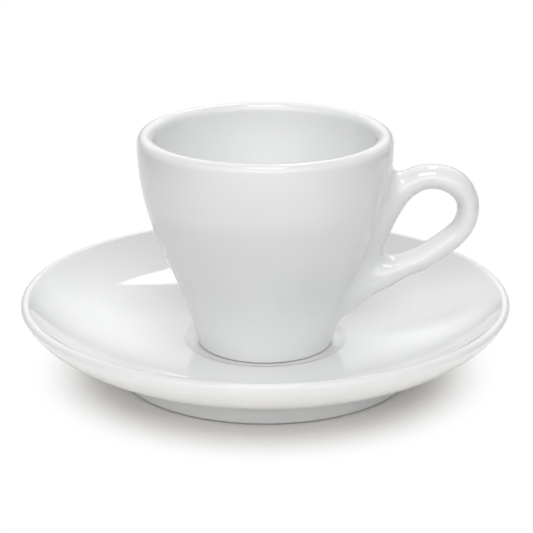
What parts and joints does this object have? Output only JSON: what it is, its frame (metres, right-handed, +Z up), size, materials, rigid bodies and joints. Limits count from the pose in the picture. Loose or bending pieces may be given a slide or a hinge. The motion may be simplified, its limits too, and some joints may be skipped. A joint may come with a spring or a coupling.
{
  "type": "coffee cup with saucer",
  "caption": "Thick-walled white porcelain espresso cup with a closed ear handle, standing loose in the well of a round saucer with an upturned rim.",
  "frame": {"origin": "middle of the saucer's foot ring, on the surface that the saucer stands on", "axes": "+Z up along the axis of the cup and the saucer, +X towards the handle"},
  "size_m": [0.124, 0.124, 0.0626],
  "materials": {
    "saucer_glaze": "clear gloss glaze on white porcelain",
    "cup_glaze": "clear gloss glaze on white porcelain"
  },
  "bodies": {
    "saucer": {"saucer": "saucer_glaze"},
    "cup": {"cup_bowl": "cup_glaze", "cup_handle": "cup_glaze"}
  },
  "joints": [
    {"name": "cup_lift", "type": "slide", "parent": "saucer", "child": "cup", "axis": [0, 0, 1], "range_m": [0, 0.04]}
  ]
}
